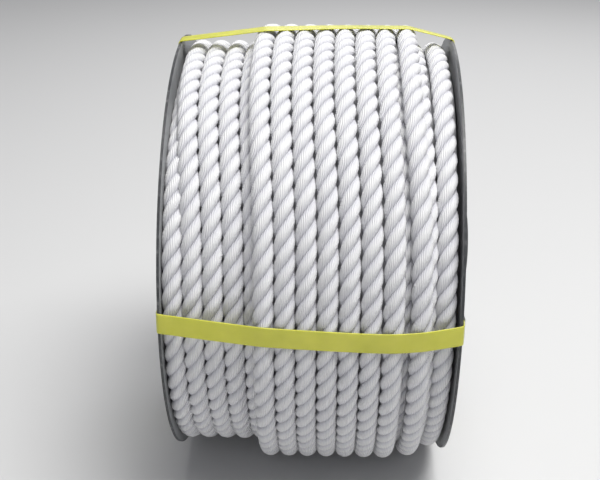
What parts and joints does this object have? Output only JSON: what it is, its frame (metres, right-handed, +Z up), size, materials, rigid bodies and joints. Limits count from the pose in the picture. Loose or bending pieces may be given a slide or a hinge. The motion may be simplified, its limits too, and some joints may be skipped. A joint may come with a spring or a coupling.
{
  "type": "rope reel",
  "caption": "White three-strand dock line wound on a flanged steel reel and held by yellow packing straps, with a bore for a spindle.",
  "frame": {"origin": "on the floor under the reel's middle, at the outer face of its lowest strap", "axes": "+X along the reel's axis, from the flange with the rope's inner end to the flange with the strap seals; +Z up; the front faces -Y"},
  "size_m": [0.266, 0.3816, 0.3816],
  "materials": {
    "rope": "white laid nylon yarn with a soft sheen",
    "strap": "yellow polypropylene band with a fine embossed grid",
    "reel_paint": "dark grey semi-gloss paint on sheet steel, worn at its edges",
    "hub_casting": "dark painted casting with a bare machined bore and end",
    "fastener_steel": "zinc-plated",
    "seal_steel": "galvanised, crimped",
    "end_tape": "blue vinyl tape"
  },
  "bodies": {
    "root": {"flange_left": "reel_paint", "flange_right": "reel_paint", "barrel": "reel_paint", "hub_left": "hub_casting", "hub_right": "hub_casting", "hub_rivets": "fastener_steel", "tie_rods": "fastener_steel", "tie_rod_washers": "fastener_steel", "tie_rod_nuts": "fastener_steel", "rope_winding": "rope", "rope_inner_tail": "rope", "inner_end_tape": "end_tape", "tail_clip": "fastener_steel", "tail_clip_rivets": "fastener_steel", "outer_end_tape": "end_tape", "strap_back": "strap", "seal_back": "seal_steel", "strap_top": "strap", "seal_top": "seal_steel", "strap_front": "strap", "seal_front": "seal_steel", "strap_bottom": "strap", "seal_bottom": "seal_steel"}
  },
  "joints": []
}
